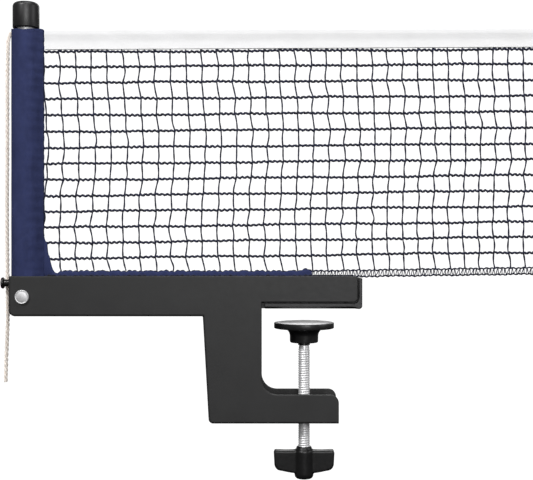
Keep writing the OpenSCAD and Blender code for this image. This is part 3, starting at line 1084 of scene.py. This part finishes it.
def make_rivet():
    """The rivet, with a rim and a shallow groove round each head."""
    low, high = box("post_rivet")
    x, z = (low.x + high.x) / 2, (low.z + high.z) / 2
    radius = (high.x - low.x) / 2
    seat = HALF_OUT
    rise = high.y - seat
    head = [(2.5, 0), (2.5, seat), (radius - 0.9, seat), (radius - 0.8, seat + 0.4), (radius, seat + 0.6),
            (radius, seat + 0.95), (radius - 0.15, seat + 1.2), (radius - 0.4, seat + 1.28),
            (radius - 0.62, seat + 1.16), (radius - 0.85, seat + 1.14), (radius - 1.1, seat + 1.2),
            (radius * 0.5, seat + rise * 0.93), (0, seat + rise)]
    shape = Shape()
    for side in (90, -90):
        shape.lathe(head, (x, 0, z), 48, Matrix.Rotation(radians(side), 4, "X"))
    piece("rivet_heads", shape, "zinc_plate", "bracket", ["post_rivet"], 45)


def make_stud():
    """The mushroom stud that the cord is hooked on."""
    low, high = box("cord_stud")
    y, z = (low.y + high.y) / 2, (low.z + high.z) / 2
    head = (high.y - low.y) / 2
    neck = 2.0
    reach = -low.x
    start = -high.x
    profile = [(0, start), (neck, start), (neck, reach - 1.9), (neck + 0.35, reach - 1.62),
               (head - 0.3, reach - 1.55), (head, reach - 1.2), (head, reach - 0.55),
               (head - 0.25, reach - 0.2), (head - 0.7, reach - 0.04), (0.6, reach),
               (0.4, reach - 0.25), (0, reach - 0.3)]
    shape = Shape()
    shape.lathe(profile, (0, y, z), 40, Matrix.Rotation(radians(-90), 4, "Y"))
    piece("cleat_stud", shape, "black_stud", "bracket", ["cord_stud"], 45)


THREAD_RINGS = 5          # rings in one turn of the thread


def thread_rows(top, bottom, pitch, major, minor, segments, chamfer):
    """Rings of a helical thread between two heights, run out to the core at the ends."""
    profile = [(0.0, minor), (0.12, minor), (0.36, major), (0.64, major), (0.88, minor)]
    rings = []
    turns = int((top - bottom) / pitch) + 2
    for turn in range(turns):
        for offset, radius in profile:
            ring = []
            for i in range(segments):
                angle = 2 * pi * i / segments
                z = top + pitch - (turn + offset + i / segments) * pitch
                clipped = min(top, max(bottom, z))
                limit = min(top - clipped, clipped - bottom) / chamfer
                r = min(radius, minor - 0.2 + (major - minor + 0.2) * min(1, limit))
                ring.append(Vector((r * cos(angle), -r * sin(angle), clipped)))
            rings.append(ring)
    return rings


def make_screw():
    """The clamp screw with a real helical thread, its neck and its ball."""
    pitch = 1.27
    major = 3.175
    minor = 2.83
    segments = 32
    top = box("clamp_screw")[1].z
    ball, shoulder = top - 3.5, top - 9.9
    hidden = shoulder - 61.6
    rings = thread_rows(shoulder, hidden, pitch, major, minor, segments, 3.2)
    shape = Shape()
    shape.grid(rings)
    for i in range(len(rings) - 1 - THREAD_RINGS):
        last, onward = (i + 1) * segments - 1, (i + THREAD_RINGS) * segments
        shape.faces.append([last, onward, onward + segments, last + segments])
    shape.lathe([(0, top), (1.8, top - 0.5), (3.1, ball + 1.6), (3.5, ball), (3.1, ball - 1.6),
                 (2.6, ball - 2.4), (2.6, shoulder - 0.05), (2.4, shoulder - 0.1), (0, shoulder - 0.1)],
                (0, 0, 0), 32)
    piece("threaded_screw", shape, "screw_zinc", "screw", ["clamp_screw"], 70)


def make_pad():
    """The swivel pad, and the thin disc let into its top."""
    low, high = box("pad_body")
    radius = (high.x - low.x) / 2
    rim, bottom = high.z, low.z
    under = rim - 3.1
    hub, fillet = 7.8, 4.2
    profile = ([(radius - 1.75, rim - 0.55), (radius - 1.7, rim - 0.05), (radius - 1.45, rim),
                (radius - 0.35, rim), (radius - 0.08, rim - 0.12), (radius, rim - 0.4),
                (radius, under + 0.45), (radius - 0.12, under + 0.12), (radius - 0.45, under)]
               + arc(hub + fillet, under - fillet, fillet, 90, 176, 12)
               + [(hub - 0.05, bottom + 1.2), (hub - 0.12, bottom + 0.35), (hub - 0.5, bottom), (5.2, bottom),
                  (5, bottom + 0.3)])
    shape = Shape()
    shape.lathe(profile, (0, 0, 0), 72)
    piece("swivel_pad", shape, "pad_plastic", "pad", ["pad_body"], 40)
    face_low, face_high = box("pad_facing")
    face_r = (face_high.x - face_low.x) / 2
    top = face_high.z
    disc = [(0, face_low.z), (face_r, face_low.z), (face_r, top - 0.15), (face_r - 0.15, top),
            (face_r - 1.2, top), (face_r - 1.35, top - 0.1), (face_r - 1.6, top - 0.1), (face_r - 1.75, top),
            (0, top)]
    shape = Shape()
    shape.lathe(disc, (0, 0, 0), 72)
    piece("pad_face_disc", shape, "grey_facing", "pad", ["pad_facing"], 40)


def make_knob():
    """Wings and hub grown together into one moulding."""
    low, high = box("wing_knob")
    half, thick, hub = high.x + 0.3, 3.0, high.y
    wing_top, wing_low = high.z - 2, low.z + 3.1
    right = ([(0, wing_low), (hub, wing_low + 0.3), (hub + 3.2, wing_low + 0.75),
              (half - 4.7, wing_low + 1.5)]
             + arc(half - 4.4, wing_low + 5.5, 4, -66, -8, 8)
             + [(half - 0.1, wing_top - 1.4), (half - 0.5, wing_top - 0.3), (half - 1.1, wing_top),
                (half * 0.6, wing_top - 0.25), (hub, wing_top - 0.1), (0, wing_top)])
    outline = right[1:-1] + [(-x, z) for x, z in reversed(right[1:-1])]
    middle = (wing_top + wing_low) / 2
    rows = []
    for y, cut in ((-thick, 0.52), (-thick + 0.65, 0), (thick - 0.65, 0), (thick, 0.52)):
        row = []
        for x, z in outline:
            across = copysign(cut, -x) if abs(x) > hub + 0.1 else 0
            row.append(Vector((x + across, y, z + copysign(cut, middle - z))))
        rows.append(row)
    shape = Shape()
    shape.block(rows)
    shape.lathe([(0, low.z), (2.6, low.z), (4.3, low.z + 0.45), (5.0, low.z + 1.3), (hub, low.z + 2.6),
                 (hub, wing_top - 0.6), (hub - 0.25, wing_top), (4.35, wing_top + 0.5), (4.1, high.z - 0.3),
                 (3.8, high.z), (0, high.z)], (0, 0, 0), 56)
    obj = make_object("wing_knob_moulding", shape, MATERIALS["knob_plastic"])
    modify(obj, "REMESH", mode="VOXEL", voxel_size=0.36 * MM, use_smooth_shade=True)
    modify(obj, "SMOOTH", factor=0.6, iterations=6)
    bake_modifiers(obj)
    shade(obj, 180)
    attach(obj, "screw", ["wing_knob"])


def dress_node(name, slot, bevel=0.0):
    """A CAD node that stays: its finish, and a small rounding of its edges."""
    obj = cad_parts[name]
    obj.data.materials.clear()
    obj.data.materials.append(MATERIALS[slot])
    modify(obj, "WELD", merge_threshold=0.01 * MM)
    if bevel:
        modify(obj, "DECIMATE", decimate_type="DISSOLVE", angle_limit=radians(1))
        modify(obj, "BEVEL", width=bevel * MM, segments=3, limit_method="ANGLE", angle_limit=radians(40))
    obj.data.shade_smooth()
    modify(obj, "WEIGHTED_NORMAL", keep_sharp=True)


def dress_nodes():
    for name, slot, bevel in (
        ("thread_boss", "zinc_plate", 0.3),
        ("post_tube", "zinc_plate", 0),
        ("post_spacers", "zinc_plate", 0.2),
        ("neck_washer", "black_stud", 0.12),
        ("ball_retainer", "pad_plastic", 0.2),
        ("tape_cord", "cord_yarn", 0),
    ):
        dress_node(name, slot, bevel)


def make_floor():
    """A pale floor below the object. It sends no light back up, so undersides stay dark."""
    shape = Shape()
    reach, drop = 850, 320
    shape.lathe([(0, -drop), (reach * 0.5, -drop), (reach, -drop)], (0, 0, 0), 96)
    floor = make_object("floor", shape, MATERIALS["floor"])
    floor.visible_diffuse = False
    floor.visible_glossy = False


def make_lights():
    middle = (-0.02, 0, 0.04)
    make_world(strength=0.2, below=0.02, seen=1.1)
    for name, location, energy, size in (
        ("front", (0.15, -1.15, 0.3), 6.5, 0.6),
        ("upper_left", (-0.65, -0.85, 0.8), 8.5, 0.2),
        ("top", (0.1, -0.35, 0.95), 5, 0.7),
        ("right", (0.9, -0.25, 0.3), 1.6, 0.5),
        ("back", (0.2, 1.3, 0.75), 4, 0.8),
    ):
        make_light(name, location, middle, energy, size)


make_camera()
MATERIALS = make_materials()
make_cord()
make_lights()
make_floor()
bpy.context.scene.view_settings.view_transform = "Standard"
make_netting()
make_stitched_edge()
make_tape()
make_band()
make_sleeve()
make_bracket()
make_boot()
make_cap()
make_rivet()
make_stud()
make_screw()
make_pad()
make_knob()
dress_nodes()
